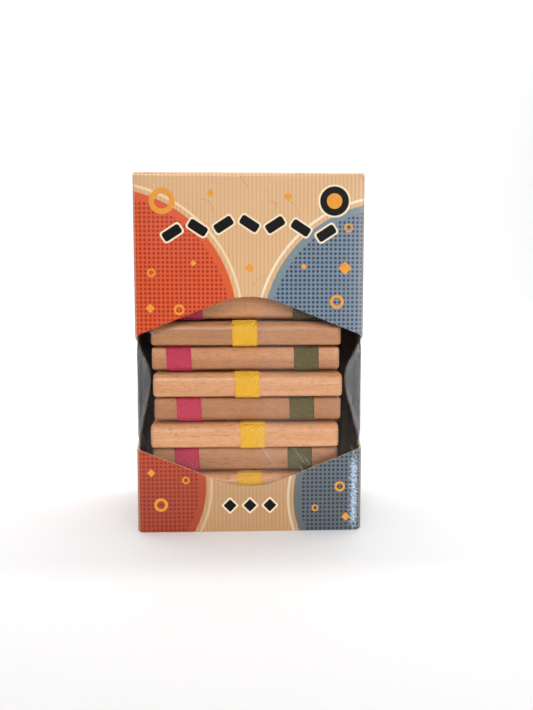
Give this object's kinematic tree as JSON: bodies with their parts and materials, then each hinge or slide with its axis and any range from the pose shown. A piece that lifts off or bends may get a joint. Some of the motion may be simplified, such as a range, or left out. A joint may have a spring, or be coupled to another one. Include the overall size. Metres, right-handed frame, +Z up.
{
  "type": "jacobs ladder toy",
  "caption": "Wooden-block ladder toy hinged on three coloured ribbons, stacked in a printed board carton with a wrap-round clear window and a tuck lid.",
  "frame": {"origin": "middle of the carton's base, on the table", "axes": "+Z up, the carton's front with the window faces -Y, +X to the right seen from the front"},
  "size_m": [0.072, 0.054, 0.114],
  "materials": {
    "printed_board": "gloss-laminated print",
    "plain_board": "uncoated",
    "clear_film": "clear, glossy",
    "wood": "thin clear lacquer",
    "pink_ribbon": "satin weave",
    "yellow_ribbon": "satin weave",
    "green_ribbon": "satin weave"
  },
  "bodies": {
    "carton": {"front_upper_panel": "printed_board", "front_lower_panel": "printed_board", "left_side_panel": "printed_board", "right_side_panel": "printed_board", "back_panel": "printed_board", "glue_flap": "plain_board", "window_film": "clear_film", "bottom_lid": "printed_board", "bottom_dust_flap_left": "plain_board", "bottom_dust_flap_right": "plain_board"},
    "lid": {"top_lid": "printed_board"},
    "dust_flap_left": {"top_dust_flap_left": "plain_board"},
    "dust_flap_right": {"top_dust_flap_right": "plain_board"},
    "ladder_block_01": {"block_01": "wood", "pink_ribbon_01": "pink_ribbon", "yellow_ribbon_01": "yellow_ribbon", "green_ribbon_01": "green_ribbon"},
    "ladder_block_02": {"block_02": "wood", "pink_ribbon_02": "pink_ribbon", "yellow_ribbon_02": "yellow_ribbon", "green_ribbon_02": "green_ribbon"},
    "ladder_block_03": {"block_03": "wood", "pink_ribbon_03": "pink_ribbon", "yellow_ribbon_03": "yellow_ribbon", "green_ribbon_03": "green_ribbon"},
    "ladder_block_04": {"block_04": "wood", "pink_ribbon_04": "pink_ribbon", "yellow_ribbon_04": "yellow_ribbon", "green_ribbon_04": "green_ribbon"},
    "ladder_block_05": {"block_05": "wood", "pink_ribbon_05": "pink_ribbon", "yellow_ribbon_05": "yellow_ribbon", "green_ribbon_05": "green_ribbon"},
    "ladder_block_06": {"block_06": "wood", "pink_ribbon_06": "pink_ribbon", "yellow_ribbon_06": "yellow_ribbon", "green_ribbon_06": "green_ribbon"},
    "ladder_block_07": {"block_07": "wood", "pink_ribbon_07": "pink_ribbon", "yellow_ribbon_07": "yellow_ribbon", "green_ribbon_07": "green_ribbon"},
    "ladder_block_08": {"block_08": "wood", "pink_ribbon_08": "pink_ribbon", "yellow_ribbon_08": "yellow_ribbon", "green_ribbon_08": "green_ribbon"},
    "ladder_block_09": {"block_09": "wood", "pink_ribbon_09": "pink_ribbon", "yellow_ribbon_09": "yellow_ribbon", "green_ribbon_09": "green_ribbon"},
    "ladder_block_10": {"block_10": "wood", "pink_ribbon_10": "pink_ribbon", "yellow_ribbon_10": "yellow_ribbon", "green_ribbon_10": "green_ribbon"}
  },
  "joints": [
    {"name": "ladder_lift", "type": "slide", "parent": "carton", "child": "ladder_block_01", "axis": [0, 0, 1], "range_m": [0, 0.025]},
    {"name": "block_hinge_01", "type": "hinge", "parent": "ladder_block_01", "child": "ladder_block_02", "pos_m": [-0.0011, -0.02465, 0.0099], "axis": [1, 0, 0], "range_deg": [0, 180]},
    {"name": "block_hinge_02", "type": "hinge", "parent": "ladder_block_02", "child": "ladder_block_03", "pos_m": [-0.0011, 0.02505, 0.0182], "axis": [-1, 0, 0], "range_deg": [0, 180]},
    {"name": "block_hinge_03", "type": "hinge", "parent": "ladder_block_03", "child": "ladder_block_04", "pos_m": [-0.0011, -0.02465, 0.0265], "axis": [1, 0, 0], "range_deg": [0, 180]},
    {"name": "block_hinge_04", "type": "hinge", "parent": "ladder_block_04", "child": "ladder_block_05", "pos_m": [-0.0011, 0.02505, 0.0348], "axis": [-1, 0, 0], "range_deg": [0, 180]},
    {"name": "block_hinge_05", "type": "hinge", "parent": "ladder_block_05", "child": "ladder_block_06", "pos_m": [-0.0011, -0.02465, 0.0431], "axis": [1, 0, 0], "range_deg": [0, 180]},
    {"name": "block_hinge_06", "type": "hinge", "parent": "ladder_block_06", "child": "ladder_block_07", "pos_m": [-0.0011, 0.02505, 0.0514], "axis": [-1, 0, 0], "range_deg": [0, 180]},
    {"name": "block_hinge_07", "type": "hinge", "parent": "ladder_block_07", "child": "ladder_block_08", "pos_m": [-0.0011, -0.02465, 0.0597], "axis": [1, 0, 0], "range_deg": [0, 180]},
    {"name": "block_hinge_08", "type": "hinge", "parent": "ladder_block_08", "child": "ladder_block_09", "pos_m": [-0.0011, 0.02505, 0.068], "axis": [-1, 0, 0], "range_deg": [0, 180]},
    {"name": "block_hinge_09", "type": "hinge", "parent": "ladder_block_09", "child": "ladder_block_10", "pos_m": [-0.0011, -0.02465, 0.0763], "axis": [1, 0, 0], "range_deg": [0, 75.84]},
    {"name": "lid_fold", "type": "hinge", "parent": "carton", "child": "lid", "pos_m": [0, -0.027, 0.114], "axis": [1, 0, 0], "range_deg": [0, 205]},
    {"name": "dust_flap_left_fold", "type": "hinge", "parent": "carton", "child": "dust_flap_left", "pos_m": [-0.036, 0, 0.1133], "axis": [0, -1, 0], "range_deg": [0, 220]},
    {"name": "dust_flap_right_fold", "type": "hinge", "parent": "carton", "child": "dust_flap_right", "pos_m": [0.036, 0, 0.1133], "axis": [0, 1, 0], "range_deg": [0, 220]}
  ],
  "couplings": [
    {"joint": "block_hinge_01", "follows": "block_hinge_09", "ratio": 0.008105},
    {"joint": "block_hinge_02", "follows": "block_hinge_09", "ratio": 0.02208},
    {"joint": "block_hinge_03", "follows": "block_hinge_09", "ratio": 0.038069},
    {"joint": "block_hinge_04", "follows": "block_hinge_09", "ratio": 0.065636},
    {"joint": "block_hinge_05", "follows": "block_hinge_09", "ratio": 0.11317},
    {"joint": "block_hinge_06", "follows": "block_hinge_09", "ratio": 0.19511},
    {"joint": "block_hinge_07", "follows": "block_hinge_09", "ratio": 0.3364},
    {"joint": "block_hinge_08", "follows": "block_hinge_09", "ratio": 0.58},
    {"joint": "lid_fold", "follows": "block_hinge_09", "ratio": 2.7029},
    {"joint": "dust_flap_left_fold", "follows": "block_hinge_09", "ratio": 2.9007},
    {"joint": "dust_flap_right_fold", "follows": "block_hinge_09", "ratio": 2.9007}
  ]
}
